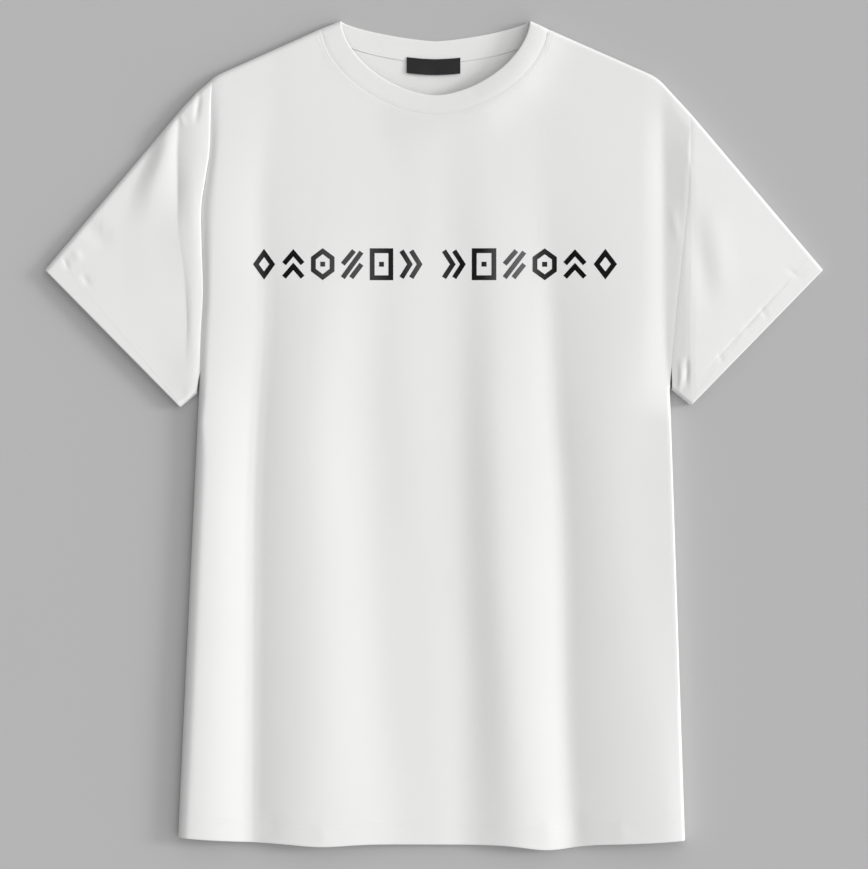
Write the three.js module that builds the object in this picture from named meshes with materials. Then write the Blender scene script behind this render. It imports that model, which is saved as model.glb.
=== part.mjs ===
// A plain crew-neck T-shirt lying flat on its back, front upwards, with both sleeves spread.
// Millimetres, +Z up. The origin is on the surface that it lies on, at the middle of its width
// and length: +X runs to the wearer's left, +Y towards the neck.
//
// It is sewn from six pieces: front, back, two sleeves, a neckband and a neck label. Each is a thin
// wall of cloth. The back and the under half of each sleeve lie on the surface, and the front and
// the upper half of each sleeve lie over them in long soft folds that run down from the chest. At
// the sides, the shoulders and the tops of the sleeves the cloth rolls over from one to the other.

import * as THREE from 'three';

// ------------------------------------------------------------------ driving sizes

const CLOTH = 1.2; // wall of the jersey
const TURN_UP = 0.8; // what the turned hem adds to the wall, on its inner side
const HEM_WIDTH = 20; // depth of the turned hem and cuffs
const HEM_STEP = 1.5; // over this much the wall thickens into the hem
const SEAM_GAP = 0.4; // pieces stand this far apart at a seam
const CORNER_GAP = 0.6; // what that gains at the wearer's right shoulder, where the seam turns down
const CORNER_REACH = 5;
const LABEL_WALL = 0.8; // the woven label is thinner than the jersey

const UPPER_ROLL = 10; // how far in from a rolled edge the upper layer reaches its full height
const LOWER_ROLL = 5; // how far in the lower layer has come down to the surface
const EDGE_RISE = 0.3; // the outermost line of a rolled edge, as a share of the cloth's height

// The wearer's right side, at -X, and left side, at +X. The two lie a little differently.
const RIGHT_SIDE = {
  hem: [-236.3, -371.4],
  underarm: [-217, 38.4],
  shoulder: [-215, 309],
  armholeBow: 7,
  cuffTop: [-359.4, 153.1],
  cuffBottom: [-234.5, 26.4],
};
const LEFT_SIDE = {
  hem: [231.7, -374.2],
  underarm: [217.8, 42.1],
  shoulder: [238, 296],
  armholeBow: 3,
  cuffTop: [359.4, 153.1],
  cuffBottom: [237.3, 28.2],
};
const ARMHOLE_GAP = 0.85; // between the middles of curved edges, which keeps the seam's gap all along
const NOTCH_GAP = 2.4; // the same at both ends of the armhole, where both layers roll
const NOTCH_REACH = 24; // how far along the armhole the wider gap closes

const HEM_BELLY = 5.5; // how far the hem hangs below the line between its corners
const HEM_DROPS = [
  { x: -105, drop: 2.5, width: 30 },
  { x: 106, drop: 4.5, width: 28 },
];

// The neck. A band runs round it between a seam and a free edge. Both are superellipses, shallow
// at the back and deep at the front, and both halves of each meet at the ends of the shoulders.
const SEAM_ENDS = { left: [-103.1, 376], right: [105, 375.1] };
const FREE_ENDS = { left: [-86.5, 382.5], right: [89.3, 382.5] };
const FRONT_SEAM = { ends: SEAM_ENDS, depth: 79.3, power: 1.75 };
const FRONT_FREE = { ends: FREE_ENDS, depth: 69.4, power: 1.72 };
const BACK_SEAM = { ends: SEAM_ENDS, depth: 31.2, power: 1.7 };
const BACK_FREE = { ends: FREE_ENDS, depth: 18.5, power: 1.35 };
const NECK_STEPS = 12; // stations round half a neck, with half a step more at each end
const NECK_END_GAP = 0.6; // what the neck seam's gap gains at its ends, where three pieces roll

const LABEL = { x: [-25.4, 24.5], length: 14.8, aboveSeam: 3.6, columns: 6, rows: 2 };

// ------------------------------------------------------------------ small tools

const lerp = (a, b, t) => a + (b - a) * t;
const clamp01 = (t) => Math.min(1, Math.max(0, t));
const smooth = (t) => (1 - Math.cos(Math.PI * clamp01(t))) / 2;

// A run of [y, ...values] stations from top to bottom, joined by a smooth curve.
function along(stations, y) {
  const last = stations.length - 1;
  if (y >= stations[0][0]) return stations[0].slice(1);
  if (y <= stations[last][0]) return stations[last].slice(1);
  const k = stations.findIndex((station) => station[0] <= y) - 1;
  const [before, from, to, after] = [k - 1, k, k + 1, k + 2].map(
    (index) => stations[Math.min(last, Math.max(0, index))],
  );
  const span = to[0] - from[0];
  const t = (y - from[0]) / span;
  return from.slice(1).map((value, index) => {
    const column = index + 1;
    const slopeIn = ((to[column] - before[column]) / (to[0] - before[0])) * span;
    const slopeOut = ((after[column] - value) / (after[0] - from[0])) * span;
    return (
      value * (2 * t ** 3 - 3 * t ** 2 + 1) +
      slopeIn * (t ** 3 - 2 * t ** 2 + t) +
      to[column] * (3 * t ** 2 - 2 * t ** 3) +
      slopeOut * (t ** 3 - t ** 2)
    );
  });
}

// ------------------------------------------------------------------ outline

// The side seam below the underarm, and the armhole above it, as x at a height y.
function sideX(side, y) {
  const [underarmX, underarmY] = side.underarm;
  if (y <= underarmY) {
    return lerp(underarmX, side.hem[0], (underarmY - y) / (underarmY - side.hem[1]));
  }
  const t = clamp01((y - underarmY) / (side.shoulder[1] - underarmY));
  return lerp(underarmX, side.shoulder[0], t) + side.armholeBow * Math.sin(Math.PI * t ** 2);
}

// The hem sags between its corners and a little more under two of the folds.
function hemY(x) {
  const middle = (RIGHT_SIDE.hem[0] + LEFT_SIDE.hem[0]) / 2;
  const half = (LEFT_SIDE.hem[0] - RIGHT_SIDE.hem[0]) / 2;
  const across = clamp01((x - RIGHT_SIDE.hem[0]) / (2 * half));
  const belly = HEM_BELLY * (1 - clamp01(Math.abs(x - middle) / half) ** 4);
  const drops = HEM_DROPS.map(({ x: at, drop, width }) => drop * Math.exp(-(((x - at) / width) ** 2)));
  return lerp(RIGHT_SIDE.hem[1], LEFT_SIDE.hem[1], across) - belly - drops[0] - drops[1];
}

// A point on a neck curve: angle 0 is its left end and pi its right end.
function neckPoint({ ends, depth, power }, angle, outset = 0) {
  const { left, right } = ends;
  const halfWidth = (right[0] - left[0]) / 2 + outset;
  const cosine = Math.cos(angle);
  const reach = Math.sign(cosine) * Math.abs(cosine) ** (2 / power);
  const x = (left[0] + right[0]) / 2 - halfWidth * reach;
  const sag = (depth + outset) * Math.abs(Math.sin(angle)) ** (2 / power);
  return [x, lerp(left[1], right[1], (1 - reach) / 2) - sag];
}

const neckAngles = [];
for (let step = 0; step <= NECK_STEPS; step += 1) {
  neckAngles.push((Math.PI * step) / NECK_STEPS);
}
neckAngles.splice(1, 0, neckAngles[1] / 2);
neckAngles.splice(-1, 0, Math.PI - neckAngles[1]);

// The rolled edges: both shoulders, out to the free edge of the neckband, the tops of the sleeves,
// the seams under the arms and the sides of the body.
const rightShoulder = new THREE.Path();
rightShoulder.moveTo(...RIGHT_SIDE.shoulder);
rightShoulder.quadraticCurveTo(-210, 330.5, -190, 337.1);
rightShoulder.lineTo(...SEAM_ENDS.left);
rightShoulder.lineTo(...FREE_ENDS.left);

const leftShoulder = new THREE.Path();
leftShoulder.moveTo(...LEFT_SIDE.shoulder);
leftShoulder.lineTo(213, 323.2);
leftShoulder.quadraticCurveTo(207, 330, 199, 333.6);
leftShoulder.lineTo(...SEAM_ENDS.right);
leftShoulder.lineTo(...FREE_ENDS.right);

// The gap between a body panel and a sleeve, wider at both ends of the armhole.
function armholeGap(side, y, widerAtTop) {
  const fromBottom = smooth((y - side.underarm[1]) / NOTCH_REACH);
  const fromTop = widerAtTop ? smooth((side.shoulder[1] - y) / NOTCH_REACH) : 1;
  return lerp(NOTCH_GAP, ARMHOLE_GAP, fromBottom * fromTop);
}

// The wearer's right sleeve stands up in a small puff beside the shoulder, and the left one
// carries on the line of the shoulder.
const rightSleeveTop = new THREE.Path();
rightSleeveTop.moveTo(RIGHT_SIDE.shoulder[0] - NOTCH_GAP, 303);
rightSleeveTop.quadraticCurveTo(-222, 324, -232, 303.6);
rightSleeveTop.lineTo(...RIGHT_SIDE.cuffTop);

const leftSleeveTop = new THREE.Path();
leftSleeveTop.moveTo(LEFT_SIDE.shoulder[0] + ARMHOLE_GAP, LEFT_SIDE.shoulder[1] - ARMHOLE_GAP);
leftSleeveTop.lineTo(...LEFT_SIDE.cuffTop);

function underarmSeam(side, outward) {
  const seam = new THREE.Path();
  seam.moveTo(side.underarm[0] + outward * NOTCH_GAP, side.underarm[1]);
  seam.lineTo(...side.cuffBottom);
  return seam;
}
const rightUnderarm = underarmSeam(RIGHT_SIDE, -1);
const leftUnderarm = underarmSeam(LEFT_SIDE, 1);

const CURVE_PARTS = 8;
const rolledEdges = [rightShoulder, leftShoulder, rightSleeveTop, leftSleeveTop, rightUnderarm, leftUnderarm]
  .map((path) => path.getPoints(CURVE_PARTS).map((point) => [point.x, point.y]))
  .concat([
    [RIGHT_SIDE.underarm, RIGHT_SIDE.hem],
    [LEFT_SIDE.underarm, LEFT_SIDE.hem],
  ]);

function distanceToLine([x, y], [ax, ay], [bx, by]) {
  const [dx, dy] = [bx - ax, by - ay];
  const t = clamp01(((x - ax) * dx + (y - ay) * dy) / (dx * dx + dy * dy));
  return Math.hypot(x - ax - t * dx, y - ay - t * dy);
}

function distanceToRolledEdge(point) {
  let nearest = Infinity;
  for (const edge of rolledEdges) {
    for (let k = 1; k < edge.length; k += 1) {
      nearest = Math.min(nearest, distanceToLine(point, edge[k - 1], edge[k]));
    }
  }
  return nearest;
}

// ------------------------------------------------------------------ folds

// The crests and troughs of the upper layer, from the wearer's right to left. Each is a line that
// runs down the shirt, as stations of [y, x, height]. Between two lines the height changes in a
// soft S, or straight off a line that is creased.
const RIGHT_SLEEVE_FOLDS = [
  { name: 'outer part', stations: [[320, -400, 7.5], [0, -400, 7.5]] },
  { name: 'middle', stations: [[300, -290, 8.6], [30, -290, 8.8]] },
  { name: 'crest', stations: [[300, -256, 7.6], [216, -256, 9], [123, -252, 8.8], [40, -248, 7.6]] },
  { name: 'gather', stations: [[300, -236, 7], [216, -238, 5.4], [123, -231, 5.8], [40, -232, 6.4]] },
  { name: 'armhole ridge', stations: [[309, -222, 8], [216, -220, 9], [60, -222, 8.6], [30, -226, 8]] },
];
const BODY_FOLDS = [
  {
    name: 'right armhole, then right side',
    onSeam: true,
    stations: [[309, 0, 9], [297, 0, 6.5], [280, 0, 3.8], [70, 0, 3.4], [36, 0, 7], [10, 0, 12.5]],
  },
  {
    name: 'right crest',
    stations: [
      [309, -196, 8.5], [216, -195.6, 11], [123, -199.3, 12],
      [12, -204.9, 13], [-246, -217.8, 14], [-376, -219, 13.5],
    ],
  },
  {
    name: 'first trough',
    creased: true,
    stations: [
      [300, -146, 8.8], [225, -149.4, 7], [100, -155, 5.2],
      [-15, -158.6, 4.6], [-339, -158.6, 4.6], [-376, -163, 4.8],
    ],
  },
  {
    name: 'second crest',
    stations: [[300, -112, 9], [225, -113, 9.6], [100, -114, 11.8], [-15, -114, 13], [-376, -114, 13]],
  },
  {
    name: 'faint trough',
    stations: [[300, -38, 9.2], [204, -37.5, 8.2], [60, -37.5, 7.4], [-150, -44, 8.2], [-376, -44, 8.4]],
  },
  {
    name: 'faint crest',
    stations: [[300, -8, 9.4], [204, -6, 9.3], [60, -3, 9.4], [-150, -3, 9], [-376, -3, 9]],
  },
  {
    name: 'second trough',
    stations: [
      [300, 18, 9.2], [248, 19.9, 8.4], [150, 27, 6.8],
      [31, 33.8, 5.6], [-154, 35.6, 5.2], [-376, 38.6, 5.2],
    ],
  },
  {
    name: 'third crest',
    stations: [
      [300, 60, 9.8], [248, 62, 10], [150, 64, 11],
      [31, 66, 12], [-154, 66, 13], [-376, 68, 13.4],
    ],
  },
  {
    name: 'third trough',
    stations: [
      [300, 112, 9.4], [170, 117, 7.4], [31, 126.3, 5.8],
      [-154, 130.9, 4.8], [-339, 144.8, 4.5], [-376, 146, 4.6],
    ],
  },
  {
    name: 'left crest',
    stations: [
      [309, 191, 10.2], [170, 204, 13], [31, 208, 13.4],
      [-117, 204.9, 13.6], [-246, 202, 14], [-376, 207, 13.6],
    ],
  },
  {
    name: 'left armhole valley, then left side',
    stations: [
      [309, 213, 9.6], [285, 215.5, 6], [250, 217.3, 4], [70, 217.3, 4],
      [36, 219.5, 8], [10, 221, 12.5], [-376, 234, 12],
    ],
  },
];
const LEFT_SLEEVE_FOLDS = [
  { name: 'crest', stations: [[320, 240, 10], [200, 243, 10.6], [100, 240, 9.6], [36, 236, 8.4]] },
  { name: 'middle', stations: [[300, 300, 9.4], [30, 300, 9.4]] },
  { name: 'outer part', stations: [[320, 400, 7], [0, 400, 7]] },
];
const LOWEST_OF_SLEEVES = 20; // below this y there is only the body

// Height of the upper layer's middle surface before its edges roll over.
function foldHeight(x, y) {
  const sleeves = y > LOWEST_OF_SLEEVES;
  const folds = sleeves ? [...RIGHT_SLEEVE_FOLDS, ...BODY_FOLDS, ...LEFT_SLEEVE_FOLDS] : BODY_FOLDS;
  const lines = folds.map(({ stations, creased, onSeam }) => {
    const [lineX, height] = along(stations, y);
    return { x: onSeam ? sideX(RIGHT_SIDE, y) : lineX, height, creased };
  });
  const k = lines.findIndex((line) => line.x > x);
  if (k < 1) return k === 0 ? lines[0].height : lines[lines.length - 1].height;
  const [from, to] = [lines[k - 1], lines[k]];
  const t = (x - from.x) / (to.x - from.x);
  let ease = smooth(t);
  if (from.creased) ease = Math.sin((Math.PI / 2) * t);
  if (to.creased) ease = 1 - Math.cos((Math.PI / 2) * t);
  return lerp(from.height, to.height, ease);
}

// A quarter round: 0 at the edge and 1 from the roll's width inwards.
const quarterRound = (distance, width) => Math.sqrt(1 - (1 - clamp01(distance / width)) ** 2);

const restHeight = CLOTH / 2; // middle surface of cloth that lies on the surface
const edgeHeight = (x, y) => restHeight + EDGE_RISE * (foldHeight(x, y) - restHeight);

// The middle surfaces of the two layers. Where a seam runs along a rolled edge, each keeps half
// the seam's gap clear of the other.
function upperPoint([x, y], seamGap = 0) {
  const edge = edgeHeight(x, y) + seamGap / 2;
  const round = quarterRound(distanceToRolledEdge([x, y]), UPPER_ROLL);
  return new THREE.Vector3(x, y, lerp(edge, foldHeight(x, y), round));
}

function lowerPoint([x, y], seamGap = 0) {
  const edge = edgeHeight(x, y) - seamGap / 2;
  const round = quarterRound(distanceToRolledEdge([x, y]), LOWER_ROLL);
  return new THREE.Vector3(x, y, lerp(edge, restHeight, round));
}

// ------------------------------------------------------------------ cloth walls

const unit = (from, to) => new THREE.Vector3().subVectors(to, from).normalize();

// Direction of the grid line through one of its points: the mean of the steps on each side.
function direction(line, k, closed) {
  const count = line.length;
  const sum = new THREE.Vector3();
  if (closed || k > 0) sum.add(unit(line[(k - 1 + count) % count], line[k]));
  if (closed || k < count - 1) sum.add(unit(line[k], line[(k + 1) % count]));
  return sum.normalize();
}

// A wall through a grid of middle points: columns[i][j]. The outer face is on the side of
// (along i) x (along j). The inner face is moved further by lining(i, j), and rims close the
// edges. A closed grid runs round in i and has no rims there. Where onRoll(i, j) holds, the rim
// lies on a rolled edge and is level, so that it meets its neighbour's face to face.
function clothWall(columns, options = {}) {
  const { closed = false, wall = CLOTH, lining = () => 0, onRoll = () => false } = options;
  const across = columns.length;
  const down = columns[0].length;
  const outer = [];
  const inner = [];
  columns.forEach((column, i) => {
    column.forEach((point, j) => {
      const row = columns.map((other) => other[j]);
      const normal = direction(row, i, closed).cross(direction(column, j, false));
      if (onRoll(i, j)) normal.z = 0;
      normal.normalize();
      outer.push(point.clone().addScaledVector(normal, wall / 2));
      inner.push(point.clone().addScaledVector(normal, -wall / 2 - lining(i, j)));
    });
  });
  const faces = [];
  const quad = (a, b, c, d) => faces.push(a, b, c, a, c, d);
  const at = (i, j) => (i % across) * down + j;
  const innerAt = (i, j) => outer.length + at(i, j);
  const cells = closed ? across : across - 1;
  for (let i = 0; i < cells; i += 1) {
    for (let j = 0; j < down - 1; j += 1) {
      quad(at(i, j), at(i + 1, j), at(i + 1, j + 1), at(i, j + 1));
      quad(innerAt(i, j + 1), innerAt(i + 1, j + 1), innerAt(i + 1, j), innerAt(i, j));
    }
    quad(at(i + 1, 0), at(i, 0), innerAt(i, 0), innerAt(i + 1, 0));
    quad(at(i, down - 1), at(i + 1, down - 1), innerAt(i + 1, down - 1), innerAt(i, down - 1));
  }
  if (!closed) {
    const end = across - 1;
    for (let j = 0; j < down - 1; j += 1) {
      quad(at(0, j), at(0, j + 1), innerAt(0, j + 1), innerAt(0, j));
      quad(at(end, j + 1), at(end, j), innerAt(end, j), innerAt(end, j + 1));
    }
  }
  const positions = [...outer, ...inner].flatMap((point) => point.toArray());
  const geometry = new THREE.BufferGeometry();
  geometry.setAttribute('position', new THREE.Float32BufferAttribute(positions, 3));
  geometry.setIndex(faces);
  geometry.computeVertexNormals();
  return geometry;
}

const shirt = new THREE.Group();
shirt.name = 't_shirt';

function addPiece(name, geometry, color, roughness) {
  const material = new THREE.MeshStandardMaterial({ color, roughness, metalness: 0 });
  const mesh = new THREE.Mesh(geometry, material);
  mesh.name = name;
  shirt.add(mesh);
}
const JERSEY_WHITE = 0xe9e9e6;
const RIB_WHITE = 0xebebe8;
const LABEL_BLACK = 0x141414;

// ------------------------------------------------------------------ front and back

// Distances from a rolled edge at which the grid has a line, so that the roll is round.
const ROLL_STEPS = [0, 0.35, 1.4, 3.2, 6, 10];
const SHOULDER_COLUMNS = 5;
const BODY_ROWS = 14;

// Height of the shoulder line at x, from the points of its path.
const shoulderPoints = [rightShoulder, leftShoulder].map((path) => path.getPoints(4 * CURVE_PARTS));
function shoulderY(x) {
  const points = shoulderPoints[x < 0 ? 0 : 1];
  for (let k = 1; k < points.length; k += 1) {
    const [a, b] = [points[k - 1], points[k]];
    const t = (x - a.x) / (b.x - a.x);
    if (t >= 0 && t <= 1) return lerp(a.y, b.y, t);
  }
  return points[0].y;
}

// The top of a panel from shoulder to shoulder, round the neck seam.
function panelTop(neckSeam) {
  const shoulderRun = (side, inward, neckX) => {
    const start = side.shoulder[0] + inward * ROLL_STEPS[ROLL_STEPS.length - 1];
    const rolled = ROLL_STEPS.map((step) => side.shoulder[0] + inward * step);
    const straight = [];
    for (let k = 1; k < SHOULDER_COLUMNS; k += 1) {
      straight.push(lerp(start, neckX, k / SHOULDER_COLUMNS));
    }
    return [...rolled, ...straight].map((x) => [x, shoulderY(x)]);
  };
  const neckGap = (angle) => SEAM_GAP + NECK_END_GAP * Math.cos(angle) ** 8;
  const neck = neckAngles.map((angle) => neckPoint(neckSeam, angle, neckGap(angle)));
  const fromRight = shoulderRun(RIGHT_SIDE, 1, neck[0][0]);
  const toLeft = shoulderRun(LEFT_SIDE, -1, neck[neck.length - 1][0]).reverse();
  return [...fromRight, ...neck, ...toLeft];
}

// Rows of a column from the hem to its top, with lines for the hem's step and the shoulder's roll.
function columnRows(bottom, top) {
  const roll = [...ROLL_STEPS].reverse();
  const first = bottom + HEM_WIDTH;
  const last = top - roll[0];
  const rows = [bottom, bottom + HEM_WIDTH - HEM_STEP];
  for (let k = 0; k < BODY_ROWS; k += 1) {
    rows.push(lerp(first, last, k / BODY_ROWS));
  }
  return [...rows, ...roll.map((step) => top - step)];
}

function panel(neckSeam, layerPoint) {
  return panelTop(neckSeam).map(([topX, topY]) => {
    const left = sideX(RIGHT_SIDE, topY);
    const share = (topX - left) / (sideX(LEFT_SIDE, topY) - left);
    const placeAt = (y) => lerp(sideX(RIGHT_SIDE, y), sideX(LEFT_SIDE, y), share);
    const hemX = lerp(RIGHT_SIDE.hem[0], LEFT_SIDE.hem[0], share);
    return columnRows(hemY(hemX), topY).map((y) => {
      const x = placeAt(y);
      const corner = Math.hypot(x - RIGHT_SIDE.shoulder[0], y - RIGHT_SIDE.shoulder[1]);
      return layerPoint([x, y], SEAM_GAP + CORNER_GAP * Math.exp(-corner / CORNER_REACH));
    });
  });
}

// The sides and the shoulders are rolled edges. The armholes, the neck and the hem are not.
function addPanel(name, columns) {
  const end = columns.length - 1;
  const top = columns[0].length - 1;
  const besideNeck = ROLL_STEPS.length + SHOULDER_COLUMNS - 1;
  const onRoll = (i, j) => {
    const onSide = (i === 0 || i === end) && columns[i][j].y < RIGHT_SIDE.underarm[1];
    const onShoulder = j === top && (i <= besideNeck || i >= end - besideNeck);
    return onSide || onShoulder;
  };
  const lining = (i, j) => (j < 2 ? TURN_UP : 0);
  addPiece(name, clothWall(columns, { lining, onRoll }), JERSEY_WHITE, 0.88);
}

addPanel('front_panel', panel(FRONT_SEAM, upperPoint));
// The back's outer face is the one it lies on, so its columns run the other way.
addPanel('back_panel', panel(BACK_SEAM, lowerPoint).reverse());

// ------------------------------------------------------------------ sleeves

const SLEEVE_STEPS = 8; // along the sleeve, before the cuff
const SLEEVE_COLUMNS = 6; // across a layer between its rolled edges
const UNDERARM_ROLL = [0, 0.5, 2, 5];

// Shares across the sleeve, from the fold on top (0) to the seam under the arm (1).
function sleeveShares(acrossLength) {
  const top = ROLL_STEPS.map((step) => step / acrossLength);
  const under = UNDERARM_ROLL.map((step) => 1 - step / acrossLength).reverse();
  const middle = [];
  for (let k = 1; k < SLEEVE_COLUMNS; k += 1) {
    middle.push(lerp(top[top.length - 1], under[0], k / SLEEVE_COLUMNS));
  }
  return [...top, ...middle, ...under];
}

// A patch between the armhole, the cuff, the top fold and the underarm seam.
function sleevePlace(side, outward, topFold, underarm, along01, across01) {
  const foldStart = topFold.getPointAt(0);
  const seamStart = underarm.getPointAt(0);
  const armholeY = lerp(foldStart.y, seamStart.y, across01);
  const gap = armholeGap(side, armholeY, outward < 0);
  const armhole = [sideX(side, armholeY) + outward * gap, armholeY];
  const cuff = [0, 1].map((k) => lerp(side.cuffTop[k], side.cuffBottom[k], across01));
  const fold = topFold.getPointAt(along01).toArray();
  const seam = underarm.getPointAt(along01).toArray();
  const corners = [foldStart.toArray(), side.cuffTop, seamStart.toArray(), side.cuffBottom];
  return [0, 1].map((k) => {
    const ruledAlong = lerp(armhole[k], cuff[k], along01);
    const ruledAcross = lerp(fold[k], seam[k], across01);
    const onFold = lerp(corners[0][k], corners[1][k], along01);
    const onSeam = lerp(corners[2][k], corners[3][k], along01);
    return ruledAlong + ruledAcross - lerp(onFold, onSeam, across01);
  });
}

function sleeve(side, outward, topFold, underarm) {
  const foldLength = topFold.getLength();
  const cuffStart = 1 - HEM_WIDTH / foldLength;
  const stations = [];
  for (let k = 0; k < SLEEVE_STEPS; k += 1) {
    stations.push((cuffStart * k) / SLEEVE_STEPS);
  }
  stations.push(cuffStart, cuffStart + HEM_STEP / foldLength, 1);
  const shares = sleeveShares(Math.hypot(
    side.cuffTop[0] - side.cuffBottom[0],
    side.cuffTop[1] - side.cuffBottom[1],
  ));
  const layer = (share, layerPoint) =>
    stations.map((station) => layerPoint(sleevePlace(side, outward, topFold, underarm, station, share)));
  // Round the sleeve: over the top from the underarm to the fold, and back underneath.
  const over = [...shares].reverse().map((share) => layer(share, upperPoint));
  const under = shares.slice(1, -1).map((share) => layer(share, lowerPoint));
  const ring = [...over, ...under];
  if (outward > 0) ring.reverse();
  const thickened = stations.length - 2;
  return clothWall(ring, { closed: true, lining: (i, j) => (j >= thickened ? TURN_UP : 0) });
}

addPiece('right_sleeve', sleeve(RIGHT_SIDE, -1, rightSleeveTop, rightUnderarm), JERSEY_WHITE, 0.88);
addPiece('left_sleeve', sleeve(LEFT_SIDE, 1, leftSleeveTop, leftUnderarm), JERSEY_WHITE, 0.88);

// ------------------------------------------------------------------ neckband

const BAND_ROWS = 2;
const BAND_ROLL = [0.05, 0.2, 0.5]; // extra stations in the first and last step, where it folds

// Points from seam to free edge at a station, a whole number at a neck angle.
function bandPlace(seam, free, station, share) {
  const k = Math.min(Math.floor(station), neckAngles.length - 2);
  const t = station - k;
  const onEdge = (edge) => {
    const from = neckPoint(edge, neckAngles[k]);
    const to = neckPoint(edge, neckAngles[k + 1]);
    return [lerp(from[0], to[0], t), lerp(from[1], to[1], t)];
  };
  const [sewn, open] = [onEdge(seam), onEdge(free)];
  return [lerp(sewn[0], open[0], share), lerp(sewn[1], open[1], share)];
}

const lastStation = neckAngles.length - 1;
const bandStations = [0, ...BAND_ROLL];
for (let k = 1; k < lastStation; k += 1) {
  bandStations.push(k);
}
bandStations.push(...BAND_ROLL.map((step) => lastStation - step).reverse(), lastStation);

function bandHalf(seam, free, layerPoint) {
  return bandStations.map((station) => {
    const points = [];
    for (let row = 0; row <= BAND_ROWS; row += 1) {
      points.push(layerPoint(bandPlace(seam, free, station, row / BAND_ROWS)));
    }
    return points;
  });
}
const bandFront = bandHalf(FRONT_SEAM, FRONT_FREE, upperPoint);
const bandBack = bandHalf(BACK_SEAM, BACK_FREE, lowerPoint).reverse().slice(1, -1);
addPiece('neckband', clothWall([...bandFront, ...bandBack], { closed: true }), RIB_WHITE, 0.9);

// ------------------------------------------------------------------ neck label

// It lies on the inside of the back, across the neck seam, and follows the seam's curve.
const labelHeight = CLOTH + SEAM_GAP + LABEL_WALL / 2;
const labelColumns = [];
for (let i = 0; i <= LABEL.columns; i += 1) {
  const x = lerp(LABEL.x[0], LABEL.x[1], i / LABEL.columns);
  const middle = (SEAM_ENDS.left[0] + SEAM_ENDS.right[0]) / 2;
  const halfWidth = (SEAM_ENDS.right[0] - SEAM_ENDS.left[0]) / 2;
  const share = (middle - x) / halfWidth;
  const angle = Math.acos(Math.sign(share) * Math.abs(share) ** (BACK_SEAM.power / 2));
  const top = neckPoint(BACK_SEAM, angle)[1] + LABEL.aboveSeam;
  const column = [];
  for (let j = 0; j <= LABEL.rows; j += 1) {
    column.push(new THREE.Vector3(x, top - LABEL.length * (1 - j / LABEL.rows), labelHeight));
  }
  labelColumns.push(column);
}
addPiece('neck_label', clothWall(labelColumns, { wall: LABEL_WALL }), LABEL_BLACK, 0.7);

export default shirt;
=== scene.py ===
"""A plain white crew-neck T-shirt laid flat on its back, front up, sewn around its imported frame."""

import math

import bpy
import numpy as np
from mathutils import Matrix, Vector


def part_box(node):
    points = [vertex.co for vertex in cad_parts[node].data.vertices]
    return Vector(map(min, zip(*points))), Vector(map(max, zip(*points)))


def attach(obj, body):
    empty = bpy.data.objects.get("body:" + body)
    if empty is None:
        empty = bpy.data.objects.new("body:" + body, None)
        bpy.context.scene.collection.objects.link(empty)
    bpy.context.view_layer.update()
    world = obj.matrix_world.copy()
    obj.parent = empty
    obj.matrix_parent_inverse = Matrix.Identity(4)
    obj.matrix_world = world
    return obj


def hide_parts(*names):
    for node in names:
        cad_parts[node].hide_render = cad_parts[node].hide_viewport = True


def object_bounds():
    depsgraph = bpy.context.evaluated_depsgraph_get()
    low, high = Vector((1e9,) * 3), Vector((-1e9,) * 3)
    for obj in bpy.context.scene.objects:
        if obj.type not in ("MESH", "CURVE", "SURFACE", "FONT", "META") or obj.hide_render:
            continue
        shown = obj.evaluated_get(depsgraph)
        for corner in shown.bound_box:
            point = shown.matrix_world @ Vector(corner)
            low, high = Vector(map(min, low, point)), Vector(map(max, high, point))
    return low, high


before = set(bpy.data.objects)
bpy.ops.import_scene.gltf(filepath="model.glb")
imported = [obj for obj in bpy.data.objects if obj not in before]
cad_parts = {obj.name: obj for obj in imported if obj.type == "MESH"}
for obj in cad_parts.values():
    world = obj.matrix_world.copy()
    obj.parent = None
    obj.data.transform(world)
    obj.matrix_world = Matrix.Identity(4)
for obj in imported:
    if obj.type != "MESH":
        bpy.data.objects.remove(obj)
cad_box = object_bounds()

# ---------------------------------------------------------------- front
# The front is cut in one from white cotton jersey. It lies over the back in long soft folds that
# run down from the chest, and rolls over towards it at the shoulders and down both sides. Its hem
# is turned up inside and its neck and armholes are sewn to the band and the sleeves.

MM = 0.001  # the cutting sizes below are in millimetres
CUT_WALL = 1.2  # wall of the solid that the cloth lies in
JERSEY_WALL = 0.9
HEM_TURN = 0.55  # radius of a folded hem, at the middle of the cloth
UPPER_ROLL = 10  # how far in from a rolled edge the upper layer is at its full height
TOP_ROLL = 4  # the same on the wearer's right above the underarm
CLOSE_ROLL = 2  # the same on the wearer's left, where the edges are pressed flatter
ROLL_TIGHTENS = (-30, 30)  # from the body's roll to the top's, going up on the wearer's right
ROLL_CLOSES = (-100, 100)  # from the right's roll to the left's, going across
EDGE_RISE = 0.3  # height of the rolled edge itself, as a share of the cloth's
SEAM_GAP = 0.4  # between front and back where they are sewn
CORNER_GAP, CORNER_REACH = 0.6, 5  # the same, added round the right shoulder's point
NECK_GAP, NECK_CORNER_GAP = 0.1, 0.15  # between body and band, and what is added at the neck's corners

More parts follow.
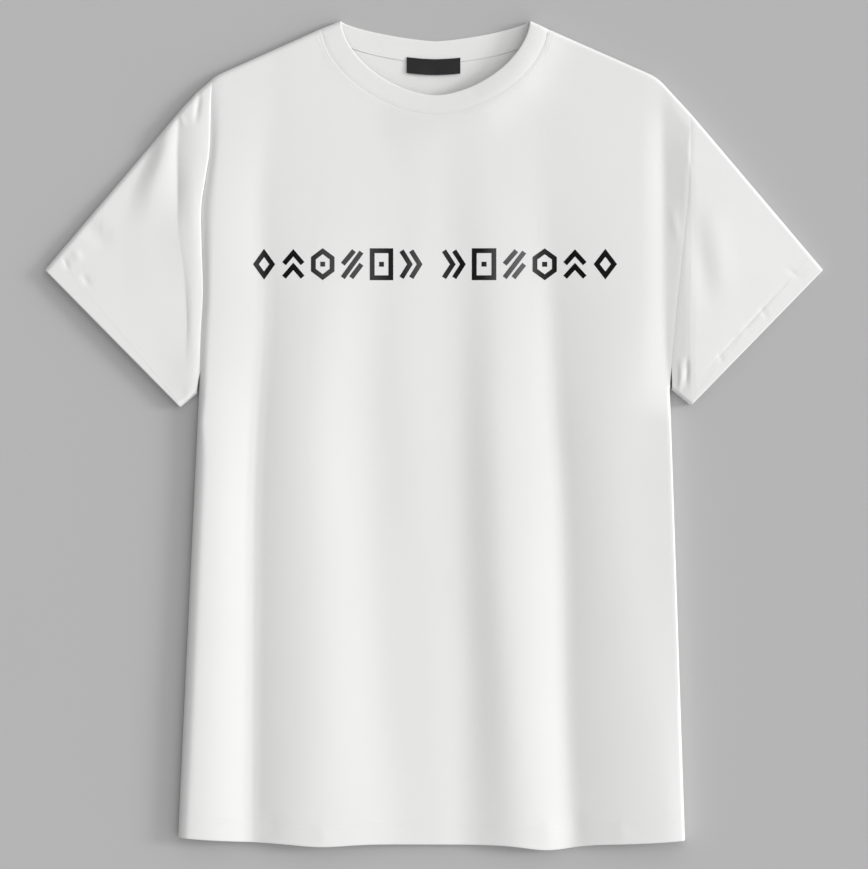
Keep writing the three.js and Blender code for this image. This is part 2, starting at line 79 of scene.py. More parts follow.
RIGHT = {
    "hem": (-236.3, -371.4), "underarm": (-217, 38.4), "shoulder": (-205, 329),
    "armhole": ((329, -205), (308, -206.7), (262, -208), (239, -211.4), (211, -215.4), (170, -215),
                (132, -213.8), (90, -216), (38.4, -217)),
    "cuff_top": (-359.4, 153.1), "cuff_bottom": (-234.5, 26.4),
}
LEFT = {
    "hem": (231.7, -374.2), "underarm": (217.8, 42.1), "shoulder": (238, 296),
    "armhole": ((296, 238), (260, 237.5), (211, 234.4), (120, 225), (42.1, 217.8)),
    "cuff_top": (359.4, 153.1), "cuff_bottom": (237.3, 28.2),
}
HEM_BELLY = 5.5
HEM_DROPS = ((-105, 2.5, 30), (106, 4.5, 28))  # place, drop and width of two dips in the hem
SEAM_ENDS = ((-103.1, 376), (105, 375.1))
FREE_ENDS = ((-86.5, 382.5), (89.3, 382.5))
FRONT_NECK = (SEAM_ENDS, 79.3, 1.75)


def mix(a, b, t):
    """From a at t = 0 to b at t = 1."""
    return a + (b - a) * t


def smooth(t):
    """From 0 to 1 with a gentle start and end."""
    return (1 - np.cos(math.pi * np.clip(t, 0, 1))) / 2


def along(stations, y):
    """The values of a run of stations at each y, joined by a smooth curve."""
    table = np.array(stations, float)[::-1]
    last = len(table) - 1
    k = np.clip(np.searchsorted(table[:, 0], y, side="right") - 1, 0, last - 1)
    before, start, end, after = (table[np.clip(k + step, 0, last)] for step in (-1, 0, 1, 2))
    span = (end[..., 0] - start[..., 0])[..., None]
    t = np.clip((y[..., None] - start[..., :1]) / span, 0, 1)
    slope_in = (end - before) / (end[..., :1] - before[..., :1]) * span
    slope_out = (after - start) / (after[..., :1] - start[..., :1]) * span
    value = (
        start * (2 * t**3 - 3 * t**2 + 1) + slope_in * (t**3 - 2 * t**2 + t)
        + end * (3 * t**2 - 2 * t**3) + slope_out * (t**3 - t**2)
    )
    return np.moveaxis(value[..., 1:], -1, 0)


def side_x(side, y):
    """The side seam below the underarm and the armhole above it."""
    (arm_x, arm_y), (hem_x, hem_y) = side["underarm"], side["hem"]
    below = mix(arm_x, hem_x, (arm_y - y) / (arm_y - hem_y))
    return np.where(y <= arm_y, below, along(side["armhole"], np.asarray(y, float))[0])


def hem_line(x):
    """The hem's edge: a shallow belly with two dips, where the folds come down."""
    (right_x, right_y), (left_x, left_y) = RIGHT["hem"], LEFT["hem"]
    across = np.clip((x - right_x) / (left_x - right_x), 0, 1)
    y = mix(right_y, left_y, across) - HEM_BELLY * (1 - np.abs(2 * across - 1) ** 4)
    for place, drop, width in HEM_DROPS:
        y = y - drop * np.exp(-(((x - place) / width) ** 2))
    return y


def neck_line(curve, angle, outset=0):
    """Points round half a neck, from its right end at angle 0 to its left end at pi."""
    ((right_x, right_y), (left_x, left_y)), depth, power = curve
    half = (left_x - right_x) / 2 + outset
    reach = np.sign(np.cos(angle)) * np.abs(np.cos(angle)) ** (2 / power)
    sag = (depth + outset) * np.abs(np.sin(angle)) ** (2 / power)
    x = (right_x + left_x) / 2 - half * reach
    return np.stack([x, mix(right_y, left_y, (1 - reach) / 2) - sag], -1)


def bend(start, control, end):
    """A curve from start to end that is drawn towards control."""
    t = np.linspace(0, 1, 9)[:, None]
    start, control, end = np.array(start, float), np.array(control, float), np.array(end, float)
    return (1 - t) ** 2 * start + 2 * t * (1 - t) * control + t**2 * end


# The edges where the upper layer rolls over to the lower one.
NOTCH_GAP = 2.4  # between body and sleeve at the underarm
ARMHOLE_GAP = 0.1
right_shoulder = np.vstack(
    [bend(RIGHT["shoulder"], (-200, 333), (-190, 337.1)), SEAM_ENDS[0], FREE_ENDS[0]]
)
left_shoulder = np.vstack(
    [LEFT["shoulder"], bend((213, 323.2), (207, 330), (199, 333.6)), SEAM_ENDS[1], FREE_ENDS[1]]
)
right_sleeve_top = np.array(
    [(-205.1, 329), (-211.4, 323.3), (-220.6, 315.4), (-227.6, 307.6), (-232, 303), RIGHT["cuff_top"]]
)
left_sleeve_top = np.array(
    [(LEFT["shoulder"][0] + ARMHOLE_GAP, LEFT["shoulder"][1] - ARMHOLE_GAP), LEFT["cuff_top"]]
)
right_underarm = np.array(
    [(RIGHT["underarm"][0] - NOTCH_GAP, RIGHT["underarm"][1]), RIGHT["cuff_bottom"]]
)
left_underarm = np.array(
    [(LEFT["underarm"][0] + NOTCH_GAP, LEFT["underarm"][1]), LEFT["cuff_bottom"]]
)
rolled_edges = [
    right_shoulder, left_shoulder, right_sleeve_top, left_sleeve_top, right_underarm, left_underarm,
    np.array([RIGHT["underarm"], RIGHT["hem"]]), np.array([LEFT["underarm"], LEFT["hem"]]),
]


def distance(x, y, lines):
    """How far each place is from the nearest line, and where along that line it is, 0 to 1."""
    nearest, share = np.full(np.shape(x), np.inf), np.zeros(np.shape(x))
    for line in lines:
        steps = np.hypot(*np.diff(line, axis=0).T)
        run = np.concatenate([[0], np.cumsum(steps)]) / steps.sum()
        for k in range(len(line) - 1):
            (ax, ay), (bx, by) = line[k], line[k + 1]
            t = np.clip(((x - ax) * (bx - ax) + (y - ay) * (by - ay)) / steps[k] ** 2, 0, 1)
            away = np.hypot(x - mix(ax, bx, t), y - mix(ay, by, t))
            share = np.where(away < nearest, mix(run[k], run[k + 1], t), share)
            nearest = np.minimum(nearest, away)
    return nearest, share


# The crests and troughs of the upper layer, from the wearer's right to left. Each runs down the
# shirt as stations of (y, x, height). A creased one is a sharp line, and the others are round.
RIGHT_SLEEVE_FOLDS = (
    (False, ((320, -400, 7.5), (0, -400, 7.5))),
    (False, ((300, -256, 7), (281, -259, 6.4), (262, -265, 5.8), (245, -272, 5.8), (229, -280, 6.4),
             (205, -287, 7.8), (188, -293, 8.4), (30, -292, 8.8))),
    (False, ((300, -239, 9), (281, -244, 9.6), (262, -248, 10.2), (245, -253, 10.2), (229, -258, 9.9),
             (205, -262, 9.2), (188, -264, 9), (123, -254, 8.9), (40, -248, 8.2))),
    (True, ((300, -236, 8.6), (281, -236.5, 8.4), (262, -237.5, 8.4), (229, -237, 7.8), (206, -237, 8.6),
            (185, -236, 9.4), (150, -231, 9.2), (123, -229, 8.6), (95, -228.5, 8.5), (60, -230, 8.9),
            (40, -232, 8.3))),
    (False, ((320, -218, 9), (281, -219, 10.2), (216, -223, 10.6), (123, -223, 9.6), (60, -224, 9),
             (30, -228, 8.4))),
)
# On the wearer's right the sleeve ends in a lip that stands over the body's sunken side. Both run
# along the armhole, as stations of (y, height).
RIGHT_LIP = ((320, 8.8), (280, 9.6), (216, 9.8), (123, 8.8), (70, 8.4), (36, 7.6))
LIP_WIDTH = 0.4
RIGHT_SIDE_FOLD = ((329, 8.8), (297, 7.8), (280, 7), (216, 6.1), (70, 6), (36, 7), (10, 12.5))
BODY_FOLDS = (
    (False, ((320, -194, 9.2), (280, -197, 10), (216, -203, 10.8), (170, -205, 11), (123, -206, 10.6),
             (60, -209, 10.8), (12, -211, 12.8), (-154, -214, 13.6), (-246, -217.8, 14), (-376, -219, 13.5))),
    (True, ((300, -150, 8.9), (216, -160, 8.1), (123, -156, 7), (12, -163, 6.2), (-61, -166, 6),
            (-154, -167, 5.8), (-339, -168, 5.8), (-376, -168, 6))),
    (False, ((300, -112, 9.4), (216, -110, 9.6), (123, -108, 10.5), (12, -117, 11.8), (-154, -111, 12.8),
             (-246, -109, 13.4), (-339, -110, 13.6), (-376, -110, 13.4))),
    (False, ((300, -50, 9.2), (216, -30, 8.6), (123, -48, 7.8), (12, -53, 7), (-61, -50, 7), (-154, -45, 7.4),
             (-246, -38, 7.3), (-339, -24, 7.2), (-376, -20, 7.2))),
    (False, ((300, -20, 9.3), (216, -10, 8.8), (123, -30, 8.1), (12, -25, 7.7), (-154, -10, 7.4),
             (-376, 0, 6.9))),
    (False, ((300, 10, 9.2), (216, 10, 8.4), (123, 20, 7.1), (12, 21, 6.7), (-154, 24, 6.6), (-246, 28, 6),
             (-376, 26, 5.8))),
    (False, ((300, 50, 9.6), (216, 50, 9.6), (123, 58, 9.6), (12, 59, 11.2), (-61, 62, 12), (-154, 66, 12.6),
             (-246, 72, 12.4), (-339, 78, 12), (-376, 80, 12.1))),
    (True, ((300, 105, 9.2), (216, 102, 8.2), (123, 108, 6.2), (12, 114, 5.6), (-61, 119, 5.2),
            (-154, 121, 4.8), (-246, 122, 4.6), (-339, 126, 4.4), (-376, 128, 4.8))),
    (False, ((309, 191, 9.8), (216, 190, 10), (123, 190, 11.4), (12, 177, 12.4), (-61, 178, 12.4),
             (-154, 188, 12.9), (-246, 202, 13.6), (-339, 212, 14), (-376, 214, 14))),
    (True, ((309, 211, 9.4), (285, 211.5, 8.2), (250, 212, 7.3), (216, 212.5, 7.4), (170, 212.5, 8.4),
            (123, 213, 9), (70, 215, 8.4), (36, 219.5, 8.6), (10, 221, 12.5), (-376, 234, 12))),
)
LEFT_SLEEVE_FOLDS = (
    (True, ((320, 216, 9.4), (300, 224, 9.8), (281, 237, 10.8), (268, 234, 11.2), (235, 237, 11.8),
            (180, 238, 12), (123, 237, 12.2), (60, 237, 11.4), (36, 238, 10.4))),
    (True, ((320, 400, 2.6), (0, 400, 2.6))),
)
LOWEST_OF_SLEEVES = 20  # below this there is only the body


def raw_folds(x, y, with_sleeves):
    """Height between the crests and troughs, eased from each to the next across the shirt."""
    lines = []
    if with_sleeves:
        lines += [(creased, *along(stations, y)) for creased, stations in RIGHT_SLEEVE_FOLDS]
        lines.append((True, side_x(RIGHT, y) - LIP_WIDTH, along(RIGHT_LIP, y)[0]))
    lines.append((True, side_x(RIGHT, y), along(RIGHT_SIDE_FOLD, y)[0]))
    lines += [(creased, *along(stations, y)) for creased, stations in BODY_FOLDS]
    if with_sleeves:
        lines += [(creased, *along(stations, y)) for creased, stations in LEFT_SLEEVE_FOLDS]
    height = np.where(x <= lines[0][1], lines[0][2], lines[-1][2])
    for (from_creased, from_x, from_z), (to_creased, to_x, to_z) in zip(lines, lines[1:]):
        t = np.clip((x - from_x) / (to_x - from_x), 0, 1)
        ease = smooth(t)
        if from_creased and to_creased:
            ease = t
        elif from_creased:
            ease = 1 - (1 - t) ** 2
        elif to_creased:
            ease = 1 - np.cos(math.pi / 2 * t)
        height = np.where((x > from_x) & (x <= to_x), mix(from_z, to_z, ease), height)
    return height


# How far the folds are rounded off: least by the armholes. Places across, each with its rounding.
SOFTNESS = ((-200, 0.2), (-186, 7), (186, 7), (200, 1.2), (222, 1.2), (234, 5))


def fold_height(x, y):
    """Height of the upper layer's middle before its edges roll over."""
    softness = np.interp(x, *zip(*SOFTNESS))
    height = 0
    for shift, share in ((-1, 0.25), (0, 0.5), (1, 0.25)):
        height = height + share * np.where(
            y > LOWEST_OF_SLEEVES,
            raw_folds(x + shift * softness, y, True),
            raw_folds(x + shift * softness, y, False),
        )
    return height


def quarter_round(away, width):
    """The rise of a rolled edge: 0 at the edge, and 1 at the width and beyond."""
    return np.sqrt(1 - (1 - np.clip(away / width, 0, 1)) ** 2)


# Small creases pressed into the upper layer: a line, then how high and how wide the crease is.
SMALL_CREASES = (
    # The neck stands open on the wearer's left.
    (((-50, 284), (0, 292), (45, 306), (75, 330), (92, 360), (98, 400), (98, 440)), 3.8, 22),
    (((-236.5, 297), (-229, 285)), 0.6, 2),  # gathers at the top of the right sleeve
    (((-216.5, 319), (-218, 304), (-221, 286)), -1.3, 2.5),
    (((-343, 166), (-338, 152)), -0.7, 2.2),  # puckers inside the right cuff
    (((-334, 172), (-326, 160)), 0.6, 3.5),
    (((-326, 150), (-318, 136)), -0.6, 3),
    (((-332, 205), (-308, 182), (-296, 190)), -0.8, 9),
    (((238, 222), (244, 176), (251, 133), (256, 108)), -1.1, 10),  # the long slack fold of the left sleeve
    (((257, 215), (263, 170), (270, 124)), 0.7, 11),
    (((240, 286), (235, 272), (235, 252), (240, 232)), 0.3, 2.2),
    (((219, 214), (222, 198), (226, 176)), 0.6, 3),
    (((228, 73), (228.5, 55), (226.5, 36)), 0.7, 2.2),  # curled cloth over the left underarm
    (((233.5, 74), (234, 58), (233, 42)), -1.1, 2.2),
    (((324, 155), (336, 147), (346, 150)), -0.5, 2.5),  # puckers along the left cuff's stitching
    (((300, 120), (310, 106)), -0.4, 2.5),
    (((278, 92), (290, 96)), 0.4, 2.5),
    (((262, 78), (268, 64)), -0.4, 2.5),
    (((338, 154), (243, 50)), -0.35, 1.4),  # the left cuff drawn in along its stitches
    (((-152, -378), (-150, -345)), -0.4, 7),  # puckers above the hem
    (((-100, -384), (-104, -356)), 0.4, 8),
    (((107, -386), (104, -350)), 0.5, 8),
    (((132, -380), (130, -345)), -0.4, 7),
    (((176, -378), (172, -354)), 0.3, 6),
)
CREASE_TAPER = 1.2  # how soon a small crease dies away towards its ends
front_seams = [neck_line(FRONT_NECK, np.linspace(0, math.pi, 61))]
for side in (RIGHT, LEFT):
    armhole_y = np.linspace(side["underarm"][1], side["shoulder"][1], 13)
    front_seams.append(np.stack([side_x(side, armhole_y), armhole_y], -1))
SEAM_DIP, SEAM_DIP_WIDTH = 0.14, 1.8  # a sewn edge is drawn down into its seam
REST = CUT_WALL / 2  # middle of cloth that lies on the surface


def upper_height(x, y, seam_gap=0):
    """Middle of the upper layer, with its rolled edges, creases and drawn-in seams."""
    folds = fold_height(x, y)
    full = folds
    for line, height, width in SMALL_CREASES:
        away, share = distance(x, y, [np.array(line, float)])
        taper = np.sin(math.pi * share) ** CREASE_TAPER
        full = full + height * np.exp(-((away / width) ** 2)) * taper
    full = full - SEAM_DIP * np.exp(-((distance(x, y, front_seams)[0] / SEAM_DIP_WIDTH) ** 2))
    edge = REST + EDGE_RISE * (folds - REST) + seam_gap / 2
    upwards = (y - ROLL_TIGHTENS[0]) / (ROLL_TIGHTENS[1] - ROLL_TIGHTENS[0])
    across = (x - ROLL_CLOSES[0]) / (ROLL_CLOSES[1] - ROLL_CLOSES[0])
    roll = mix(mix(UPPER_ROLL, TOP_ROLL, smooth(upwards)), CLOSE_ROLL, np.clip(across, 0, 1))
    return mix(edge, full, quarter_round(distance(x, y, rolled_edges)[0], roll))


def unit(vectors):
    """Each vector at length 1."""
    return vectors / np.maximum(np.linalg.norm(vectors, axis=-1, keepdims=True), 1e-12)


def facing(points, closed=False):
    """Unit normals of a grid of points, whose columns may run round in a ring."""

    def direction(grid, wrap):
        steps = unit(np.diff(np.concatenate([grid, grid[:1]]) if wrap else grid, axis=0))
        if wrap:
            return unit(steps + np.roll(steps, 1, axis=0))
        return unit(np.concatenate([steps[:1], steps[1:] + steps[:-1], steps[-1:]]))

    across = direction(points, closed)
    down = np.swapaxes(direction(np.swapaxes(points, 0, 1), False), 0, 1)
    return unit(np.cross(across, down))


TURN_STEPS = 6  # rows round a folded hem


def turned_under(points, normals, depth_rows, radius=HEM_TURN):
    """The cloth with its first row folded over and turned back inside, as far as depth_rows."""
    beyond = unit(points[:, 0] - points[:, 1])
    centre = points[:, 0] - radius * normals[:, 0]
    under = [points[:, j] - 2 * radius * normals[:, j] for j in range(depth_rows, 0, -1)]
    fold = [
        centre + radius * (math.cos(a) * normals[:, 0] + math.sin(a) * beyond)
        for a in np.linspace(math.pi, 0, TURN_STEPS + 1)[:-1]
    ]
    return np.concatenate([np.stack(under + fold, 1), points], 1)


SMOOTH_BELOW = math.radians(50)


def run_along(points, axis):
    """How far each point of a grid is along its row or column, measured on the cloth."""
    steps = np.linalg.norm(np.diff(points, axis=axis), axis=2)
    return np.insert(np.cumsum(steps, axis), 0, 0, axis)


def cut_cloth(name, points, wall, closed=False):
    """A piece of cloth through a grid of points, with its cut laid out flat as its UV map."""
    if closed:
        points = np.concatenate([points, points[:1]])
    columns, rows = points.shape[:2]
    bpy.ops.object.select_all(action="DESELECT")
    bpy.ops.mesh.primitive_grid_add(x_subdivisions=columns - 1, y_subdivisions=rows - 1, size=2)
    cloth = bpy.context.object
    cloth.name = cloth.data.name = name
    place = np.empty(columns * rows * 3)
    cloth.data.vertices.foreach_get("co", place)
    place = place.reshape(-1, 3)
    i = np.rint((place[:, 0] + 1) / 2 * (columns - 1)).astype(int)
    j = np.rint((place[:, 1] + 1) / 2 * (rows - 1)).astype(int)
    cloth.data.vertices.foreach_set("co", (points[i, j] * MM).ravel())
    u, v = run_along(points, 0), run_along(points, 1)
    flat = np.stack([u - u[columns // 2], v], -1)[i, j] * MM
    corners = np.empty(len(cloth.data.loops), int)
    cloth.data.loops.foreach_get("vertex_index", corners)
    cloth.data.uv_layers[0].data.foreach_set("uv", flat[corners].ravel())
    if closed:
        bpy.ops.object.mode_set(mode="EDIT")
        bpy.ops.mesh.select_all(action="SELECT")
        bpy.ops.mesh.remove_doubles(threshold=1e-6)
        bpy.ops.object.mode_set(mode="OBJECT")
    solid = cloth.modifiers.new("wall", "SOLIDIFY")
    solid.thickness, solid.offset = wall * MM, 0
    bpy.ops.object.modifier_apply(modifier=solid.name)
    bpy.ops.object.shade_smooth_by_angle(angle=SMOOTH_BELOW)
    return cloth


# Grid lines: close together where the cloth rolls or is folded, and wider apart elsewhere.
roll_steps = UPPER_ROLL * (1 - np.cos(np.linspace(0, math.pi / 2, 9)))
HEM_ROWS = np.array([0, 0.8, 2, 4, 7, 10, 13, 15, 16, 17, 18, 19, 20])
HEM_DEPTH_ROWS = len(HEM_ROWS) - 1
SHOULDER_COLUMNS, NECK_COLUMNS, BODY_ROWS = 38, 76, 190
neck_angles = np.linspace(0, math.pi, NECK_COLUMNS + 1)


def panel_places(neck):
    """Where a body panel's grid lies: x and y, by column from right to left and row from the hem."""
    outset = NECK_GAP + NECK_CORNER_GAP * np.cos(neck_angles) ** 8
    round_neck = neck_line(neck, neck_angles, outset)

    def shoulder(side, line, inward, neck_x):
        rolled = side["shoulder"][0] + inward * roll_steps
        straight = mix(rolled[-1], neck_x, np.arange(1, SHOULDER_COLUMNS) / SHOULDER_COLUMNS)
        x = np.concatenate([rolled, straight])
        order = np.argsort(line[:, 0])
        return np.stack([x, np.interp(x, line[order, 0], line[order, 1])], -1)

    right = shoulder(RIGHT, right_shoulder, 1, round_neck[0, 0])
    left = shoulder(LEFT, left_shoulder, -1, round_neck[-1, 0])[::-1]
    top = np.concatenate([right, round_neck, left])
    right_x, left_x = side_x(RIGHT, top[:, 1]), side_x(LEFT, top[:, 1])
    share = (top[:, 0] - right_x) / (left_x - right_x)
    hem = hem_line(mix(RIGHT["hem"][0], LEFT["hem"][0], share))
    body = np.linspace(0, 1, BODY_ROWS, endpoint=False)[1:]
    y = np.concatenate(
        [
            hem[:, None] + HEM_ROWS,
            mix((hem + HEM_ROWS[-1])[:, None], (top[:, 1] - UPPER_ROLL)[:, None], body),
            top[:, 1:] - roll_steps[::-1],
        ],
        1,
    )
    return mix(side_x(RIGHT, y), side_x(LEFT, y), share[:, None]), y


def body_seam_gap(x, y):
    """The gap between front and back at their sewn edges, wider round the right shoulder's point."""
    away = np.hypot(x - RIGHT["shoulder"][0], y - RIGHT["shoulder"][1])
    return SEAM_GAP + CORNER_GAP * np.exp(-away / CORNER_REACH)


front_x, front_y = panel_places(FRONT_NECK)
front_z = upper_height(front_x, front_y, body_seam_gap(front_x, front_y))
front_points = np.stack([front_x, front_y, front_z], -1)
front_normals = facing(front_points)
front_points += (CUT_WALL - JERSEY_WALL) / 2 * front_normals
front_points = turned_under(front_points, front_normals, HEM_DEPTH_ROWS)
shirt_front = cut_cloth("shirt_front", front_points, JERSEY_WALL)


def build(tree, kind, inputs=None, **settings):
    """Adds a shader node, sets it, and joins what feeds it: a value, or another node's output."""
    node = tree.nodes.new(kind)
    for key, value in settings.items():
        setattr(node, key, value)
    for key, value in (inputs or {}).items():
        if isinstance(value, bpy.types.NodeSocket):
            tree.links.new(value, node.inputs[key])
        else:
            node.inputs[key].default_value = value
    return node


def math_node(tree, operation, first, second=0.0):
    return build(tree, "ShaderNodeMath", {0: first, 1: second}, operation=operation).outputs[0]


def weighted_sum(tree, *parts):
    """The sum of pairs of (value, weight)."""
    total, *rest = (math_node(tree, "MULTIPLY", value, weight) for value, weight in parts)
    for share in rest:
        total = math_node(tree, "ADD", total, share)
    return total


def colour_mix(tree, factor, first, second):
    """The first colour, which changes to the second as the factor rises."""
    sockets = {"Factor": factor, 6: first, 7: second}  # the Mix node's colours go by number
    return build(tree, "ShaderNodeMix", sockets, data_type="RGBA").outputs[2]


def new_group(name, inputs, outputs):
    """A shader node group, with its input's and its output's ends."""
    group = bpy.data.node_groups.new(name, "ShaderNodeTree")
    for label, kind, value in inputs:
        socket = group.interface.new_socket(label, in_out="INPUT", socket_type=kind)
        if value is not None:
            socket.default_value = value
    for label, kind in outputs:
        group.interface.new_socket(label, in_out="OUTPUT", socket_type=kind)
    return group, build(group, "NodeGroupInput").outputs, build(group, "NodeGroupOutput")


# Knitted loops: columns of small Vs, lying side by side. They serve the jersey and the rib. Their gap output
# is painted shade for the hollows between the loops.
knit, knit_in, knit_out = new_group(
    "knitted loops",
    [("Vector", "NodeSocketVector", None), ("Column width", "NodeSocketFloat", 0.0009),
     ("Loop height", "NodeSocketFloat", 0.0007)],
    [("Height", "NodeSocketFloat"), ("Gap shade", "NodeSocketFloat")],
)
apart = build(knit, "ShaderNodeSeparateXYZ", {0: knit_in["Vector"]})
column = math_node(knit, "DIVIDE", apart.outputs["X"], knit_in["Column width"])
within = math_node(knit, "ABSOLUTE", math_node(knit, "SUBTRACT", math_node(knit, "FRACT", column), 0.5))
row = math_node(knit, "DIVIDE", apart.outputs["Y"], knit_in["Loop height"])
slanted = math_node(knit, "ADD", row, math_node(knit, "MULTIPLY", within, 1.4))
loop = math_node(knit, "ABSOLUTE", math_node(knit, "SINE", math_node(knit, "MULTIPLY", slanted, math.pi)))
leg = math_node(knit, "SINE", math_node(knit, "MULTIPLY", within, 2 * math.pi))
height = weighted_sum(knit, (loop, 0.5), (leg, 0.5))
knit.links.new(height, knit_out.inputs["Height"])
# Painted shade: the lower the loops, the darker the colour, as if shade fell in the gaps between them.
knit.links.new(math_node(knit, "SUBTRACT", 1.0, height), knit_out.inputs["Gap shade"])

# The cloudiness of cotton: soft uneven patches, thicker yarns that run across, and a fine fuzz.
cotton, cotton_in, cotton_out = new_group(
    "cotton unevenness",
    [("Vector", "NodeSocketVector", None), ("Cloth", "NodeSocketVector", None)],
    [("Cloud", "NodeSocketFloat"), ("Yarn", "NodeSocketFloat"), ("Fuzz", "NodeSocketFloat")],
)
cloud = build(cotton, "ShaderNodeTexNoise", {"Vector": cotton_in["Vector"], "Scale": 14, "Detail": 4})
stretch = build(cotton, "ShaderNodeMapping", {"Vector": cotton_in["Cloth"], "Scale": (90, 1400, 1)})
yarn = build(cotton, "ShaderNodeTexNoise", {"Vector": stretch.outputs[0], "Scale": 1, "Detail": 2})
fuzz = build(cotton, "ShaderNodeTexNoise", {"Vector": cotton_in["Vector"], "Scale": 1500, "Detail": 3})
cotton.links.new(cloud.outputs[0], cotton_out.inputs["Cloud"])
cotton.links.new(yarn.outputs[0], cotton_out.inputs["Yarn"])
cotton.links.new(fuzz.outputs[0], cotton_out.inputs["Fuzz"])


def new_material(name):
    """A material with its tree, its shader, and the places that its patterns follow."""
    material = bpy.data.materials.new(name)
    material.use_nodes = True
    tree = material.node_tree
    return material, tree, tree.nodes["Principled BSDF"], build(tree, "ShaderNodeTexCoord").outputs


def cotton_noise(tree, place):
    vectors = {"Vector": place["Object"], "Cloth": place["UV"]}
    return build(tree, "ShaderNodeGroup", vectors, node_tree=cotton).outputs


def surface(tree, shader, colour, gloss, roughness, height, bump, depth):
    """Joins a colour, a roughness between two values, and a bump to the shader."""
    low, high = roughness
    rough = build(tree, "ShaderNodeMapRange", {"Value": gloss, "To Min": low, "To Max": high})
    relief = build(tree, "ShaderNodeBump", {"Height": height, "Strength": bump, "Distance": depth})
    tree.links.new(colour, shader.inputs["Base Color"])
    tree.links.new(rough.outputs[0], shader.inputs["Roughness"])
    tree.links.new(relief.outputs[0], shader.inputs["Normal"])


def cotton_material(name, light, dark, column_width, loop_height, bump, ribbed=0.0):
    """Knitted cotton: its loops, its uneven yarn and, on a rib, its raised columns."""
    material, tree, shader, place = new_material(name)
    sizes = {"Vector": place["UV"], "Column width": column_width, "Loop height": loop_height}
    loops = build(tree, "ShaderNodeGroup", sizes, node_tree=knit).outputs
    uneven = cotton_noise(tree, place)
    # The tone follows the cotton's random patches and yarns, and painted shade darkens it in the gaps between
    # the loops.
    patchy_tone_and_gap_shade = weighted_sum(tree, (uneven["Cloud"], 0.6), (uneven["Yarn"], 0.2), (loops["Gap shade"], 0.2))
    tone = colour_mix(tree, patchy_tone_and_gap_shade, (*light, 1), (*dark, 1))
    parts = [(loops["Height"], 1), (uneven["Yarn"], 0.8), (uneven["Fuzz"], 0.4)]
    if ribbed:
        across = build(tree, "ShaderNodeSeparateXYZ", {0: place["UV"]}).outputs["X"]
        rib = math_node(tree, "SINE", math_node(tree, "MULTIPLY", across, 2 * math.pi / ribbed))
        parts.append((rib, 0.5))
    height = weighted_sum(tree, *parts)
    surface(tree, shader, tone, uneven["Cloud"], (0.82, 0.96), height, bump, 0.00012)
    shader.inputs["Specular IOR Level"].default_value = 0.25
    shader.inputs["Sheen Weight"].default_value = 0.12
    shader.inputs["Sheen Roughness"].default_value = 0.6
    return material


jersey = cotton_material("white jersey", (0.805, 0.805, 0.8), (0.765, 0.765, 0.76), 0.0009, 0.0007, 0.5)


def finish_cloth(cloth, material, node):
    """Gives a sheet its material, parents it to the root and hides the solid that it stands for."""
    cloth.data.materials.append(material)
    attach(cloth, "root")
    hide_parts(node)


# ---------------------------------------------------------------- the front's stitches
# A stitch is a short white cotton thread that dips into the cloth at both ends. A twin needle sews
# the hem and round the neck seam. One stitch is shaped, and each row is made of its copies, joined.

STITCH_LENGTH, STITCH_PITCH, THREAD = 2.3, 2.9, 0.38
bpy.ops.object.select_all(action="DESELECT")
bpy.ops.mesh.primitive_uv_sphere_add(segments=6, ring_count=6, radius=1)
stitch = bpy.context.object
bpy.ops.object.mode_set(mode="EDIT")
bpy.ops.transform.rotate(value=math.pi / 2, orient_axis="Y", center_override=(0, 0, 0))
bpy.ops.transform.resize(value=(STITCH_LENGTH / 2, THREAD / 2, THREAD / 2))
bpy.ops.object.mode_set(mode="OBJECT")
stitch_points = np.array([v.co for v in stitch.data.vertices])
stitch_faces = [tuple(p.vertices) for p in stitch.data.polygons]
bpy.data.objects.remove(stitch)

thread = cotton_material("white thread", (0.84, 0.84, 0.835), (0.76, 0.76, 0.75), 0.0003, 0.0002, 0.4)


def sew(name, rows, material=thread):
    """Rows of stitches, each a line of (points, normals) on the face of the cloth."""
    vertices, faces = [], []
    for points, normals in rows:
        run = np.concatenate([[0], np.cumsum(np.linalg.norm(np.diff(points, axis=0), axis=1))])
        stops = np.arange(STITCH_PITCH / 2, run[-1], STITCH_PITCH)
        for stop in stops:
            places = ((stop, points), (stop + 1, points), (stop - 1, points), (stop, normals))
            here, ahead, behind, up = (
                np.array([np.interp(at, run, values[:, k]) for k in range(3)]) for at, values in places
            )
            forward = unit(ahead - behind)
            up = unit(up - forward * (up @ forward))
            turn = np.stack([forward, np.cross(up, forward), up])
            faces += [tuple(k + len(vertices) * len(stitch_points) for k in face) for face in stitch_faces]
            vertices.append(stitch_points @ turn + here)
    mesh = bpy.data.meshes.new(name)
    mesh.from_pydata((np.concatenate(vertices) * MM).tolist(), [], faces)
    mesh.shade_smooth()
    mesh.materials.append(material)
    piece = bpy.data.objects.new(name, mesh)
    bpy.context.scene.collection.objects.link(piece)
    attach(piece, "root")
    return piece


def face_line(x, y, height, wall_side=1):
    """A line on the face of a layer: its points, and which way the cloth faces there."""
    step = 0.5
    z = height(x, y)
    slope_x = (height(x + step, y) - height(x - step, y)) / (2 * step)
    slope_y = (height(x, y + step) - height(x, y - step)) / (2 * step)
    normals = unit(np.stack([-slope_x, -slope_y, np.ones_like(x)], -1)) * wall_side
    points = np.stack([x, y, z], -1) + normals * (CUT_WALL / 2)
    return points, normals


